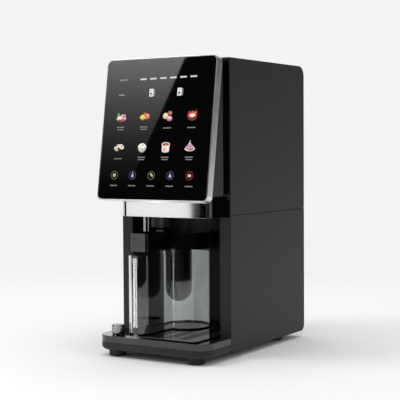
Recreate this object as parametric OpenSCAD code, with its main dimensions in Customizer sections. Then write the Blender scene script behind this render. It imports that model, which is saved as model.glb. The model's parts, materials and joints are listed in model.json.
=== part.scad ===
// Table-top coffee vending machine: a narrow cabinet with a leaning touch screen,
// a cup bay with a clear brewing jug, and a drip tray that draws out with the grounds bin.
// Millimetres. The origin is at the centre of the footprint, on the surface it stands on.
// +X is the user's right, the front faces -Y and +Z is up.

/* [Overall] */
// Width of the machine
body_w = 270; // [225:1:330]
// Depth of the cabinet from its front plane to its back
cabinet_d = 331; // [325:1:400]
// Height of the cabinet's top above the surface
body_h = 615; // [610:1:740]
// How far the drip tray stands out in front of the cabinet
tray_reach = 101; // [90:1:125]

/* [Base] */
// Height of the rubber feet
foot_h = 14; // [8:0.5:25]
// Radius of the rubber feet
foot_r = 18; // [12:0.5:24]
// Height of the fixed plinth
plinth_h = 15.5; // [12:0.5:30]
// Height of the tray layer that slides over the plinth
tray_h = 14; // [12:0.5:24]
// Radius of the base's front corners in plan
base_corner_r = 34; // [20:1:40]
// Chamfer round the plinth's lower edge
base_chamfer = 5; // [2:0.5:8]

/* [Cabinet] */
// Thickness of the folded side panels
panel_t = 3; // [2:0.5:5]
// Thickness of the top and rear covers
cover_t = 2.5; // [1.5:0.5:4]
// Radius of the cabinet's rear top edge
rear_top_r = 22; // [10:1:35]
// Radius of the cabinet's rear bottom edge
rear_foot_r = 15; // [5:1:15]
// Width of each pillar beside the cup bay
pillar_w = 26; // [22:1:35]
// Height of the cup bay above the deck
bay_h = 246; // [230:1:300]
// Depth of the cup bay behind the cabinet's front plane
bay_d = 129; // [120:1:140]
// Width of the seam between upper and lower side panels
seam_w = 0.6; // [0.3:0.1:1.5]

/* [Head] */
// Height of the black head above the bay
head_h = 41; // [36:1:60]
// How far the head stands out in front of the cabinet
head_reach = 47; // [40:1:60]
// Radius of the head's front corners
head_corner_r = 18; // [10:1:24]
// Height of the metal band round the head
band_h = 32; // [20:1:34]
// Thickness of the metal band
band_t = 1.5; // [1:0.1:2.5]
// How far the metal band stops short of the head's sides
band_end = 5; // [2:0.5:10]
// Outer radius of the outlet tube
tube_r = 6.5; // [4:0.5:8]

/* [Screen] */
// Height of the glass along its slope
screen_h = 291; // [240:1:300]
// How far the screen leans back, in degrees
screen_tilt = 8.8; // [5:0.1:12]
// Depth of the metal bezel
bezel_d = 20; // [16:1:26]
// Width of the bezel's rim round the glass
bezel_rim = 3; // [2:0.5:5]
// Thickness of the glass
glass_t = 3; // [2:0.5:4]
// Corner radius of the bezel
bezel_r = 12.5; // [8:0.5:18]

/* [Jug] */
// Outer radius of the jug
jug_r = 53; // [44:1:56]
// Wall of the jug
jug_wall = 2.5; // [2:0.1:4]
// Height of the jug's rim above its foot
jug_h = 171; // [140:1:172]
// Height of the lid
lid_h = 35; // [25:1:36]
// Outer radius of the infuser's sleeve
sleeve_r = 29; // [24:1:36]
// Outer radius of the infuser's filter
filter_r = 25.5; // [20:0.5:26]

/* [Drip tray] */
// Thickness of the grate
grate_t = 3; // [2:0.5:4]
// Width of a slot in the grate
slot_w = 5; // [3:0.5:6]
// Radius of the lock knob
knob_r = 14; // [10:0.5:16]
// Height of the lock knob
knob_h = 19.5; // [12:0.5:26]
// Radius of the lock knob's spindle
spindle_r = 3; // [2:0.5:4]
// Height of the grounds bin
bin_h = 217; // [120:1:217]

/* [Works] */
// Outer radius of the grinder
grinder_r = 36; // [30:1:38]
// Outer radius of the brewing cylinder
brewer_r = 27; // [20:1:28]
// Radius of the boiler
boiler_r = 36; // [30:1:38]
// Outer radius of the water hoses
hose_r = 4; // [3:0.5:5]
// Outer radius of the cooling fan's frame opening
fan_r = 37; // [30:1:38]

/* [Hidden] */
$fn = 64;

cabinet_grey = "#363636";
gloss_black = "#0a0a0a";
metal = "#c8c8c8";

// clearances
slide_gap = 0.5;
shaft_gap = 0.05;
eps = 0.01;

// plan
hw = body_w / 2;
inner_hw = hw - panel_t;
bay_hw = hw - pillar_w;
y_tray = -(cabinet_d + tray_reach) / 2;
y_front = y_tray + tray_reach;
y_back = y_front + cabinet_d;
y_inner = y_front + panel_t;
y_cover = y_back - cover_t;
y_head = y_front - head_reach;
y_bay = y_front + bay_d;

// levels
z_plinth = foot_h + plinth_h;
z_tray = z_plinth + slide_gap;
z_deck = z_tray + tray_h;
z_grate = z_deck + grate_t;
z_head = z_deck + bay_h;
z_neck = z_head + head_h;
z_shelf = z_head + cover_t;
shelf_t = 3;
z_floor = z_shelf + shelf_t;
z_mid = z_floor + 134.5;
z_mid_top = z_mid + shelf_t;
z_cover = body_h - cover_t;

// feet
foot_x = hw - 38;
foot_y = [y_tray + 27, y_back - 74];

// lock knob, jug and outlet follow the tray's left front corner
knob = [-(hw - 37), y_tray + 31];
jug = [knob[0] + 80, y_front + 69];
z_jug = z_grate;
z_rim = z_jug + jug_h;
column_x = [jug[0] - jug_r, jug[0] - jug_r + 49];
column_front = y_tray + 19;
column_corner_r = 20;
column_drop = 7;
lid_r = jug_r + 2;
lid_t = 3;
// the infuser hangs off the jug's centre, towards the column, as far as the jug has room
infuser_room = jug_r - jug_wall - sleeve_r - 3;
infuser_c = [jug[0] - 0.55 * infuser_room, jug[1] - 0.75 * infuser_room];
arm_x = [column_x[0] + 1, column_x[0] + 43];
arm_front = column_front + 18;
arm_rise = 3;
tube = [jug[0] - 30, y_head + 12];
z_tube = z_rim + lid_h + arm_rise + 3;
cap_x = [tube[0] + tube_r + 1.5, tube[0] + tube_r + 21.5];
block_x = [jug[0] - 34, jug[0] - 2];
block_y = [y_front - 15, y_front + 11];
block_h = 24;

// drip tray
grate_x = [knob[0] + 20, bay_hw - 3];
grate_y = [y_tray + 10, y_bay - 8];
pan_x = [grate_x[0] + 4, grate_x[1] - 4];
pan_y = [grate_y[0] + 4, grate_y[1] - 4];
pan_t = 2;
bin_x = bay_hw - 9;
bin_back = y_bay + 96;
bin_t = 2.5;

// screen
y_screen = y_tray + 9.5;
z_screen = z_head + 38;
door_back = y_front - 22;
hinge = [-(hw - 9), y_front - 13];
hinge_z = [z_screen + 50, z_screen + screen_h - 52];
hinge_r = 5;
pin_r = 2;
knuckle_h = 40;
lip_w = 12;
neck_hw = hw - 17;
neck_z = [z_neck + 8, z_screen + screen_h - 14];
neck_t = 8;

// hopper lid and water tank in the top cover
lid_x = hw - 17;
lid_y = [y_front + 23, y_front + 205];
lid_hinge = [lid_y[1] + 2.4, z_cover + 0.1];
lid_barrel_r = 2.4;
lid_barrel_x = [-90 * hw / 135, 90 * hw / 135];
lid_barrel_l = 20;
lid_pin_r = 1.2;
tank_x = hw - 19;
tank_y = [y_back - 104, y_back - 26];
tank_t = 3;
z_tank = z_floor + 14.5;

// works
grinder = [-(hw / 2 - 2.5), y_front + 100];
z_grinder = z_floor + 100;
grinder_h = 59.5;
hopper_x = [-(hw - 11), -6];
hopper_y = [y_front + 25, y_front + 175];
z_hopper = z_grinder + grinder_h;
powder_x = [6, hw - 11];
powder_c = (powder_x[0] + powder_x[1]) / 2;
trough_r = 16;
z_trough = z_mid_top + trough_r;
auger_r = 11;
auger_shaft_r = 2.5;
drop_y = hopper_y[0] + 16;
z_whip = z_floor + 52;
whip_r = 18;
brewer = [0, y_front + 170];
brewer_h = 84;
rod_r = 5;
boiler_c = [-(hw - 60), y_back - 51];
boiler_z = [z_plinth + 45, z_plinth + 215];
pump_x = [20, hw - 35];
pump_c = [y_back - 74, z_plinth + 21];
pump_r = 17;
fan_c = [hw - 70, z_plinth + 46];
fan_side = 80;
fan_d = 20;
inlet_x = [-(hw - 20), -(hw - 50)];
inlet_z = [z_plinth + 9, z_plinth + 33];
screw_r = 3.5;
screw_z = [z_plinth + 30, z_plinth + 140, z_plinth + 250];
screw_x = hw - 9;

function on_screen(y, z) = [y_screen + y * cos(screen_tilt) + z * sin(screen_tilt),
                            z_screen - y * sin(screen_tilt) + z * cos(screen_tilt)];

// ---- shared shapes ----

module block(x, y, z) {
    translate([x[0], y[0], z[0]]) cube([x[1] - x[0], y[1] - y[0], z[1] - z[0]]);
}

// a YZ outline drawn along X, and an XZ outline drawn along Y
module along_x(x) {
    translate([x[0], 0, 0]) rotate([90, 0, 90]) linear_extrude(x[1] - x[0]) children();
}

module along_y(y) {
    translate([0, y[1], 0]) rotate([90, 0, 0]) linear_extrude(y[1] - y[0]) children();
}

module raise(z) {
    translate([0, 0, z[0]]) linear_extrude(z[1] - z[0]) children();
}

module rod_z(c, r, z) {
    translate([c[0], c[1], z[0]]) cylinder(r = r, h = z[1] - z[0]);
}

module rod_y(c, r, y) {
    translate([c[0], y[1], c[1]]) rotate([90, 0, 0]) cylinder(r = r, h = y[1] - y[0]);
}

module rod_x(c, r, x) {
    translate([x[0], c[0], c[1]]) rotate([0, 90, 0]) cylinder(r = r, h = x[1] - x[0]);
}

module rectangle(x, y) {
    translate([x[0], y[0]]) square([x[1] - x[0], y[1] - y[0]]);
}

module rounded(x, y, r) {
    rectangle([x[0] + r, x[1] - r], y);
    rectangle(x, [y[0] + r, y[1] - r]);
    for (cx = [x[0] + r, x[1] - r], cy = [y[0] + r, y[1] - r]) translate([cx, cy]) circle(r);
}

// a rectangle with only its two front corners rounded
module front_rounded(x, y, r) {
    rectangle([x[0] + r, x[1] - r], y);
    rectangle(x, [y[0] + r, y[1]]);
    for (cx = [x[0] + r, x[1] - r]) translate([cx, y[0] + r]) circle(r);
}

module screen_place() {
    translate([0, y_screen, z_screen]) rotate([-screen_tilt, 0, 0]) children();
}

// ---- base ----

module plinth_chamfer_layer() {
    r = base_corner_r;
    c = base_chamfer;
    for (s = [-1, 1]) translate([s * (hw - r), y_tray + r, 0]) cylinder(r1 = r - c, r2 = r, h = c);
    along_y([y_tray + r, y_front]) polygon([[-hw + c, 0], [hw - c, 0], [hw, c], [-hw, c]]);
    along_x([-hw + r, hw - r])
        polygon([[y_tray + c, 0], [y_tray + r, 0], [y_tray + r, c], [y_tray, c]]);
}

module plinth_rear_outline() {
    r = rear_foot_r;
    rectangle([y_front - eps, y_back - r], [foot_h, z_plinth]);
    rectangle([y_front - eps, y_back], [foot_h + r, z_plinth]);
    translate([y_back - r, foot_h + r]) circle(r);
}

// moulding with three pockets open downwards between ribs, solid over the feet
module base_plinth() {
    rib = 8;
    roof = 3;
    pockets = 3;
    pocket_hw = foot_x - foot_r - rib;
    pocket_y = [y_tray + base_corner_r, y_back - 24];
    pitch = (pocket_y[1] - pocket_y[0] + rib) / pockets;
    color(cabinet_grey) difference() {
        union() {
            translate([0, 0, foot_h]) plinth_chamfer_layer();
            raise([foot_h + base_chamfer, z_plinth])
                front_rounded([-hw, hw], [y_tray, y_front], base_corner_r);
            intersection() {
                along_x([-inner_hw, inner_hw]) plinth_rear_outline();
                block([-hw, hw], [y_front - eps, y_back], [foot_h, z_plinth]);
            }
        }
        for (i = [0 : pockets - 1]) {
            y = pocket_y[0] + i * pitch;
            block([-pocket_hw, pocket_hw], [y, y + pitch - rib], [foot_h - 1, z_plinth - roof]);
        }
    }
}

module feet() {
    color("#151515") for (s = [-1, 1], y = foot_y) translate([s * foot_x, y, 0]) {
        cylinder(r1 = foot_r - 2, r2 = foot_r, h = 3);
        translate([0, 0, 3]) cylinder(r = foot_r, h = foot_h - 3);
    }
}

module tray_guides() {
    color("#242424") for (s = [0, 1]) mirror([s, 0, 0])
        block([bay_hw, inner_hw], [y_inner, bin_back + 4], [z_plinth, z_deck - slide_gap]);
}

// ---- frame ----

module chassis_posts() {
    post = [inner_hw - 14, inner_hw - 0.5];
    color("#8d9094") for (s = [0, 1]) mirror([s, 0, 0]) {
        block([bay_hw + cover_t + 0.5, post[1]], [y_inner, y_inner + 15],
              [z_deck - slide_gap, z_mid]);
        block(post, [y_inner + 172, y_inner + 187], [z_floor, z_mid]);
        difference() {
            block(post, [y_cover - 17.5, y_cover], [z_plinth, z_shelf]);
            for (z = screw_z) rod_y([screw_x, z], 2, [y_cover - 18, y_cover + 1]);
        }
    }
}

module lower_shelf() {
    color("#9a9da1") difference() {
        block([-inner_hw + 0.5, inner_hw - 0.5], [y_inner + 15.5, y_cover], [z_shelf, z_floor]);
        rod_z(brewer, brewer_r - 5, [z_shelf - 1, z_floor + 1]);
        rod_z([0, y_back - 66], hose_r + 1, [z_shelf - 1, z_floor + 1]);
        rod_z([-55, brewer[1] + 45], hose_r + 1, [z_shelf - 1, z_floor + 1]);
    }
}

module middle_shelf() {
    color("#9a9da1") difference() {
        block([-inner_hw + 0.5, inner_hw - 0.5], [y_inner, y_inner + 192], [z_mid, z_mid_top]);
        rod_z(grinder, grinder_r + 1, [z_mid - 1, z_mid_top + 1]);
        rod_z(brewer, rod_r + 3, [z_mid - 1, z_mid_top + 1]);
        rod_z([powder_c, drop_y], 12, [z_mid - 1, z_mid_top + 1]);
    }
}

// ---- casing ----

module lower_panel_outline() {
    r = rear_foot_r;
    z_top = z_head + 4 - seam_w / 2;
    rectangle([y_front, y_back - r], [foot_h, z_top]);
    rectangle([y_front, y_back], [foot_h + r, z_top]);
    translate([y_back - r, foot_h + r]) circle(r);
}

module upper_panel_outline() {
    r = rear_top_r;
    z_low = z_head + 4 + seam_w / 2;
    rectangle([y_front, y_back - r], [z_low, body_h]);
    rectangle([y_front, y_back], [z_low, body_h - r]);
    translate([y_back - r, body_h - r]) circle(r);
}

// folded panel: the flat side and the pillar's front face are one sheet
module lower_panel() {
    along_x([inner_hw, hw]) lower_panel_outline();
    block([bay_hw, inner_hw], [y_front, y_inner], [z_tray, z_head]);
}

module left_lower_panel() {
    color(cabinet_grey) mirror([1, 0, 0]) lower_panel();
}

module right_lower_panel() {
    color(cabinet_grey) lower_panel();
}

module left_upper_panel() {
    color(cabinet_grey) along_x([-hw, -inner_hw]) upper_panel_outline();
}

module right_upper_panel() {
    color(cabinet_grey) along_x([inner_hw, hw]) upper_panel_outline();
}

module lid_hinge_arms() {
    for (x = lid_barrel_x, s = [-1, 1]) {
        near = lid_barrel_l / 2 + 0.4;
        span = s > 0 ? [x + near, x + near + 4] : [x - near - 4, x - near];
        difference() {
            union() {
                rod_x(lid_hinge, lid_barrel_r - 0.2, span);
                block(span, [lid_hinge[0], lid_hinge[0] + 4],
                      [lid_hinge[1] - 2.2, lid_hinge[1] + 2.2]);
            }
            rod_x(lid_hinge, lid_pin_r, [span[0] - 1, span[1] + 1]);
        }
    }
}

// flat top, curving down at the back, open over the hopper and the water tank
module top_cover() {
    r = rear_top_r;
    notch = lid_barrel_l / 2 + 4.8;
    color(cabinet_grey) {
        difference() {
            block([-inner_hw, inner_hw], [y_front, y_back - r], [z_cover, body_h]);
            block([-lid_x - 1, lid_x + 1], [lid_y[0] - 1, lid_hinge[0] + 0.2],
                  [z_cover - 1, body_h + 1]);
            for (x = lid_barrel_x)
                block([x - notch, x + notch], [lid_hinge[0], lid_hinge[0] + 2.8],
                      [z_cover - 1, body_h + 1]);
            block([-tank_x - 1, tank_x + 1], [tank_y[0] - 1, tank_y[1] + 1],
                  [z_cover - 1, body_h + 1]);
        }
        along_x([-inner_hw, inner_hw]) intersection() {
            difference() {
                translate([y_back - r, body_h - r]) circle(r);
                translate([y_back - r, body_h - r]) circle(r - cover_t);
            }
            rectangle([y_back - r, y_back + 1], [body_h - r, body_h + 1]);
        }
        lid_hinge_arms();
    }
}

module fan_grille_slots() {
    pitch = 8;
    for (i = [-4 : 4]) {
        half = sqrt(pow(fan_r - 2, 2) - pow(i * pitch, 2));
        block([fan_c[0] - half, fan_c[0] + half], [y_cover - 1, y_back + 1],
              [fan_c[1] + i * pitch - 2, fan_c[1] + i * pitch + 2]);
    }
}

module rear_cover() {
    slots = 9;
    color(cabinet_grey) difference() {
        block([-inner_hw, inner_hw], [y_cover, y_back], [z_plinth, body_h - rear_top_r]);
        fan_grille_slots();
        for (i = [0 : slots - 1])
            block([-60, 60], [y_cover - 1, y_back + 1], [z_head + 30 + 9 * i, z_head + 33 + 9 * i]);
        block(inlet_x, [y_cover - 1, y_back + 1], inlet_z);
        for (s = [-1, 1], z = screw_z) rod_y([s * screw_x, z], screw_r, [y_cover - 1, y_back + 1]);
    }
}

module cover_screws() {
    slot = 1;
    color("#b0b2b5") for (s = [-1, 1], z = screw_z) difference() {
        union() {
            rod_y([s * screw_x, z], screw_r, [y_cover, y_back - 0.2]);
            rod_y([s * screw_x, z], 2, [y_cover - 14, y_cover + eps]);
        }
        for (turn = [0, 90]) translate([s * screw_x, y_back, z]) rotate([0, turn, 0])
            cube([2 * screw_r - 2, 2.4, slot], center = true);
    }
}

// side walls, ceiling and the strip of back wall above the grounds bin
module bay_liner() {
    color("#1a1a1a") {
        for (s = [0, 1]) mirror([s, 0, 0])
            block([bay_hw, bay_hw + cover_t], [y_inner, y_bay + cover_t],
                  [z_deck - slide_gap, z_shelf]);
        block([-bay_hw, bay_hw], [y_inner, y_bay + cover_t], [z_head, z_shelf]);
        block([-bay_hw, bay_hw], [y_bay, y_bay + cover_t], [z_tray + 3 + bin_h + 1, z_head]);
    }
}

// front wall of the upper cabinet with the recessed neck that the screen closes against
module screen_mount() {
    color(gloss_black) difference() {
        union() {
            block([-inner_hw, inner_hw], [y_front, y_inner], [z_neck, z_cover]);
            along_y([door_back + 0.8, y_front])
                rounded([-neck_hw, neck_hw], neck_z, 12);
        }
        along_y([door_back, y_inner + 1])
            rounded([-neck_hw + neck_t, neck_hw - neck_t],
                    [neck_z[0] + neck_t, neck_z[1] - neck_t], 6);
    }
}

module band_outline() {
    intersection() {
        rectangle([-bay_hw + band_end, bay_hw - band_end], [y_head - 1, y_head + head_corner_r]);
        difference() {
            front_rounded([-bay_hw, bay_hw], [y_head, y_head + head_corner_r + 2], head_corner_r);
            front_rounded([-bay_hw + band_t, bay_hw - band_t],
                          [y_head + band_t, y_head + head_corner_r + 3], head_corner_r - band_t);
        }
    }
}

module head_housing() {
    wall = 3;
    inset = band_t + wall;
    color(gloss_black) difference() {
        union() {
            raise([z_head, z_neck])
                front_rounded([-bay_hw, bay_hw], [y_head, y_front], head_corner_r);
            block([-inner_hw, inner_hw], [y_front, y_inner], [z_head, z_neck]);
        }
        raise([z_head - 1, z_head + band_h]) band_outline();
        raise([z_head + wall, z_neck - wall])
            front_rounded([-bay_hw + inset, bay_hw - inset],
                          [y_head + inset, y_inner + 1], head_corner_r - inset);
        rod_z(tube, tube_r, [z_head - 1, z_head + wall + 1]);
    }
}

module head_band() {
    color(metal) raise([z_head, z_head + band_h]) band_outline();
}

module outlet_tube() {
    color(metal) difference() {
        rod_z(tube, tube_r, [z_tube, z_head + 10]);
        rod_z(tube, tube_r - 2, [z_tube - 1, z_head + 11]);
    }
}

module nozzle_block() {
    color("#2c2c2c") difference() {
        raise([z_head - block_h, z_head]) rounded(block_x, block_y, 4);
        rod_z([(block_x[0] + block_x[1]) / 2, block_y[0] + 13], 4, [z_head - block_h - 1, z_head - 4]);
    }
}

// ---- screen ----

module hinge_brackets() {
    color("#3c3c3c") for (z = hinge_z, s = [-1, 1]) {
        near = knuckle_h / 2 + 0.3;
        span = s > 0 ? [z + near, z + near + 9] : [z - near - 9, z - near];
        difference() {
            union() {
                rod_z(hinge, hinge_r, span);
                block([hinge[0] - 4, hinge[0] + 4], [hinge[1], y_front], span);
            }
            rod_z(hinge, pin_r, [span[0] - 1, span[1] + 1]);
        }
    }
}

module hinge_pins() {
    reach = knuckle_h / 2 + 9.3;
    lid_reach = lid_barrel_l / 2 + 4.4;
    color("#d5d5d5") {
        for (z = hinge_z) rod_z(hinge, pin_r, [z - reach, z + reach]);
        for (x = lid_barrel_x) rod_x(lid_hinge, lid_pin_r, [x - lid_reach, x + lid_reach]);
    }
}

module screen_glass() {
    gap = 0.2;
    color("#050505") screen_place() along_y([0.4, 0.4 + glass_t])
        rounded([-hw + bezel_rim + gap, hw - bezel_rim - gap], [gap, screen_h - gap],
                bezel_r - bezel_rim - gap);
}

module screen_bezel() {
    r = bezel_rim;
    color(metal) screen_place() difference() {
        along_y([0, bezel_d]) rounded([-hw, hw], [-r, screen_h + r], bezel_r);
        along_y([-1, bezel_d - 3]) rounded([-hw + r, hw - r], [0, screen_h], bezel_r - r);
        along_y([-2, bezel_d + 1])
            rounded([-hw + lip_w, hw - lip_w], [lip_w, screen_h - lip_w], 4);
    }
}

module lcd_panel() {
    color("#202830") screen_place()
        block([-hw + 16, hw - 16], [0.4 + glass_t, 6.4 + glass_t], [16, screen_h - 16]);
}

module screen_board() {
    back = 6.4 + glass_t;
    color("#1d5c3a") screen_place() {
        block([-60, 60], [back + 2, back + 3.6], [90, 200]);
        for (x = [-54, 54], z = [96, 194]) rod_y([x, z], 3, [back, back + 2.1]);
        block([-20, 10], [back + 3.5, back + 6], [130, 160]);
        block([30, 50], [back + 3.5, back + 9], [100, 112]);
    }
}

// wedge-shaped back of the screen, with the knuckles it swings on
module screen_housing() {
    low = on_screen(bezel_d, 9);
    high = on_screen(bezel_d, screen_h - 7);
    low_in = on_screen(bezel_d - 1, 12);
    high_in = on_screen(bezel_d - 1, screen_h - 10);
    wall = 3;
    color(cabinet_grey) {
        difference() {
            along_x([-hw + 4, hw - 4])
                polygon([low, [door_back, low[1] + 2], [door_back, high[1] + 4], high]);
            along_x([-hw + 4 + wall, hw - 4 - wall])
                polygon([low_in, [door_back - wall, low[1] + 2 + wall],
                         [door_back - wall, high[1] + 4 - wall], high_in]);
        }
        for (z = hinge_z) difference() {
            union() {
                rod_z(hinge, hinge_r, [z - knuckle_h / 2, z + knuckle_h / 2]);
                block([hinge[0] - 4, hinge[0] + 4], [door_back - eps, hinge[1]],
                      [z - knuckle_h / 2, z + knuckle_h / 2]);
            }
            rod_z(hinge, pin_r + shaft_gap, [z - knuckle_h, z + knuckle_h]);
        }
    }
}

// ---- top: hopper lid and water tank ----

module hopper_lid() {
    color(cabinet_grey) {
        block([-lid_x, lid_x], lid_y, [z_cover, body_h]);
        for (x = lid_barrel_x) difference() {
            union() {
                rod_x(lid_hinge, lid_barrel_r, [x - lid_barrel_l / 2, x + lid_barrel_l / 2]);
                block([x - lid_barrel_l / 2, x + lid_barrel_l / 2],
                      [lid_y[1] - eps, lid_hinge[0]], [z_cover, z_cover + lid_barrel_r]);
            }
            rod_x(lid_hinge, lid_pin_r + shaft_gap, [x - lid_barrel_l, x + lid_barrel_l]);
        }
    }
}

module water_tank() {
    color("#9fb4c0") difference() {
        union() {
            block([-tank_x, tank_x], tank_y, [z_tank, z_cover]);
            rod_z([0, y_back - 66], 6, [z_tank - 8, z_tank + eps]);
        }
        block([-tank_x + tank_t, tank_x - tank_t], [tank_y[0] + tank_t, tank_y[1] - tank_t],
              [z_tank + tank_t, z_cover + 1]);
        rod_z([0, y_back - 66], 3.5, [z_tank - 9, z_tank + tank_t + 1]);
    }
}

module tank_lid() {
    color(cabinet_grey) difference() {
        block([-tank_x, tank_x], tank_y, [z_cover, body_h]);
        translate([0, (tank_y[0] + tank_y[1]) / 2, body_h + 8]) rotate([0, 90, 0])
            cylinder(r = 9, h = 60, center = true);
    }
}

module tank_dock() {
    c = [0, y_back - 66];
    color("#d9d9d9") difference() {
        block([-32, 32], [c[1] - 20, c[1] + 20], [z_floor, z_tank]);
        rod_z(c, 6.4, [z_tank - 9, z_tank + 1]);
        rod_z(c, 3, [z_floor - 1, z_tank]);
    }
}

// ---- works ----

module bean_hopper() {
    t = 2.5;
    slope = 36;
    neck = 25;
    z_neck_top = z_hopper + neck;
    color("#3a2f28", 0.9) difference() {
        union() {
            block(hopper_x, hopper_y, [z_neck_top + slope, z_cover - 6]);
            hull() {
                block(hopper_x, hopper_y, [z_neck_top + slope, z_neck_top + slope + 1]);
                rod_z(grinder, 20, [z_neck_top, z_neck_top + 1]);
            }
            rod_z(grinder, 20, [z_hopper, z_neck_top + 1]);
        }
        block([hopper_x[0] + t, hopper_x[1] - t], [hopper_y[0] + t, hopper_y[1] - t],
              [z_neck_top + slope, z_cover]);
        hull() {
            block([hopper_x[0] + t, hopper_x[1] - t], [hopper_y[0] + t, hopper_y[1] - t],
                  [z_neck_top + slope, z_neck_top + slope + 1]);
            rod_z(grinder, 17, [z_neck_top, z_neck_top + 1]);
        }
        rod_z(grinder, 17, [z_hopper - 1, z_neck_top + 1]);
    }
}

module grinder_body() {
    color("#4a4d50") difference() {
        rod_z(grinder, grinder_r, [z_grinder, z_hopper]);
        rod_z(grinder, grinder_r - 8, [z_grinder + 9, z_hopper - 6]);
        rod_z(grinder, 17, [z_hopper - 7, z_hopper + 1]);
        rod_z(grinder, 4 + shaft_gap, [z_grinder - 1, z_grinder + 10]);
    }
}

module grinder_motor() {
    color("#5a5d60") difference() {
        union() {
            rod_z(grinder, grinder_r - 6, [z_floor + 4, z_grinder]);
            rod_z(grinder, grinder_r - 2, [z_floor, z_floor + 4 + eps]);
        }
        rod_z(grinder, 4 + shaft_gap, [z_grinder - 20, z_grinder + 1]);
    }
}

module grinder_burr() {
    teeth = 9;
    color("#b9bcc0") translate([grinder[0], grinder[1], z_grinder]) {
        translate([0, 0, -18]) cylinder(r = 4, h = 60);
        difference() {
            translate([0, 0, 12]) cylinder(r1 = 24, r2 = 10, h = 28);
            for (i = [0 : teeth - 1]) rotate([0, 0, i * 360 / teeth])
                translate([20, -1.2, 10]) rotate([0, -27, 0]) cube([10, 2.4, 40]);
        }
    }
}

module canister_outline(t) {
    top = z_cover - 12 + (t > 0 ? 1 : 0);
    shoulder = z_trough + 50;
    polygon([[powder_x[0] + t, top], [powder_x[1] - t, top], [powder_x[1] - t, shoulder],
             [powder_c + trough_r - t, z_trough], [powder_c - trough_r + t, z_trough],
             [powder_x[0] + t, shoulder]]);
    translate([powder_c, z_trough]) circle(trough_r - t);
}

module powder_canister() {
    t = 3;
    color("#e4e4e0") difference() {
        along_y(hopper_y) canister_outline(0);
        along_y([hopper_y[0] + t, hopper_y[1] - t]) canister_outline(t);
        rod_y([powder_c, z_trough], auger_shaft_r + shaft_gap, [hopper_y[1] - t - 1, hopper_y[1] + 1]);
        rod_z([powder_c, drop_y], 8, [z_mid, z_trough]);
    }
}

// sloping flights on a shaft; the shaft runs in the canister's rear wall
module powder_auger() {
    length = hopper_y[1] - hopper_y[0] - 14;
    pitch = 9;
    flight_angle = 18;
    color("#f2f2f2") {
        rod_y([powder_c, z_trough], auger_shaft_r, [hopper_y[0] + 5, hopper_y[1] + 14]);
        for (i = [0 : floor(length / pitch) - 1])
            translate([powder_c, hopper_y[0] + 12 + i * pitch, z_trough])
                rotate([90 - flight_angle, 0, 0])
                    cylinder(r = auger_r, h = 1.6, center = true);
    }
}

module dosing_motors() {
    color("#6a6d70") {
        difference() {
            union() {
                rod_y([powder_c, z_trough], 15, [hopper_y[1], hopper_y[1] + 42]);
                block([powder_c - 8, powder_c + 8], [hopper_y[1] + 2, hopper_y[1] + 12],
                      [z_mid_top, z_trough]);
            }
            rod_y([powder_c, z_trough], auger_shaft_r + shaft_gap,
                  [hopper_y[1] - 1, hopper_y[1] + 16]);
        }
        difference() {
            union() {
                rod_y([powder_c, z_whip], 16, [drop_y + 18, drop_y + 60]);
                block([powder_c - 13, powder_c + 13], [drop_y + 20, drop_y + 56],
                      [z_floor, z_whip - 8]);
            }
            rod_y([powder_c, z_whip], auger_shaft_r + shaft_gap, [drop_y + 17, drop_y + 32]);
        }
    }
}

// funnel over a whipping chamber, with its outlet at the bottom
module mixing_bowl() {
    rim_r = 30;
    throat_r = 9;
    t = 2;
    drum = [drop_y - 16, drop_y + 18];
    z_funnel = z_whip + 14;
    funnel_h = 48;
    color("#d8d8d4") difference() {
        union() {
            translate([powder_c, drop_y, z_funnel])
                cylinder(r1 = throat_r + t, r2 = rim_r, h = funnel_h);
            rod_y([powder_c, z_whip], whip_r, drum);
            rod_z([powder_c, drop_y], 7, [z_floor, z_whip]);
        }
        translate([powder_c, drop_y, z_funnel - eps])
            cylinder(r1 = throat_r, r2 = rim_r - t, h = funnel_h + 2 * eps);
        rod_z([powder_c, drop_y], throat_r, [z_whip, z_funnel + 1]);
        rod_y([powder_c, z_whip], whip_r - t, [drum[0] + t, drum[1] - t]);
        rod_y([powder_c, z_whip], auger_shaft_r + shaft_gap, [drum[1] - t - 1, drum[1] + 1]);
        rod_z([powder_c, drop_y], 5, [z_floor - 1, z_whip]);
    }
}

module whipper() {
    vanes = 6;
    c = [powder_c, z_whip];
    color("#f2f2f2") {
        rod_y(c, auger_shaft_r, [drop_y - 8, drop_y + 30]);
        rod_y(c, 12, [drop_y + 4, drop_y + 7]);
        for (i = [0 : vanes - 1]) translate([c[0], drop_y, c[1]]) rotate([0, i * 360 / vanes, 0])
            translate([2, -6, -0.8]) cube([9, 11, 1.6]);
    }
}

module brew_cylinder() {
    wall = 5;
    z = [z_floor, z_floor + brewer_h];
    color("#c9cbd0") difference() {
        union() {
            rod_z(brewer, brewer_r, z);
            rod_z(brewer, brewer_r + 7, [z[1] - 5, z[1]]);
            rod_z(brewer, brewer_r + 5, [z[0], z[0] + 4]);
        }
        rod_z(brewer, brewer_r - wall, [z[0] - 1, z[1] + 1]);
    }
}

module brew_guide() {
    z = z_floor + brewer_h;
    post = [brewer_r + 1, brewer_r + 6];
    color("#303234") difference() {
        union() {
            for (s = [0, 1]) mirror([s, 0, 0])
                block(post, [brewer[1] - 6, brewer[1] + 6], [z, z + 18]);
            block([-post[1], post[1]], [brewer[1] - 8, brewer[1] + 8], [z + 18, z + 30]);
        }
        rod_z(brewer, rod_r + shaft_gap, [z - 1, z + 31]);
    }
}

module brew_piston() {
    z = z_floor + brewer_h;
    color("#e6e6e6") {
        rod_z(brewer, brewer_r - 5 - shaft_gap, [z - 14, z - 2]);
        rod_z(brewer, rod_r, [z - 3, z + 96]);
    }
}

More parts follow.
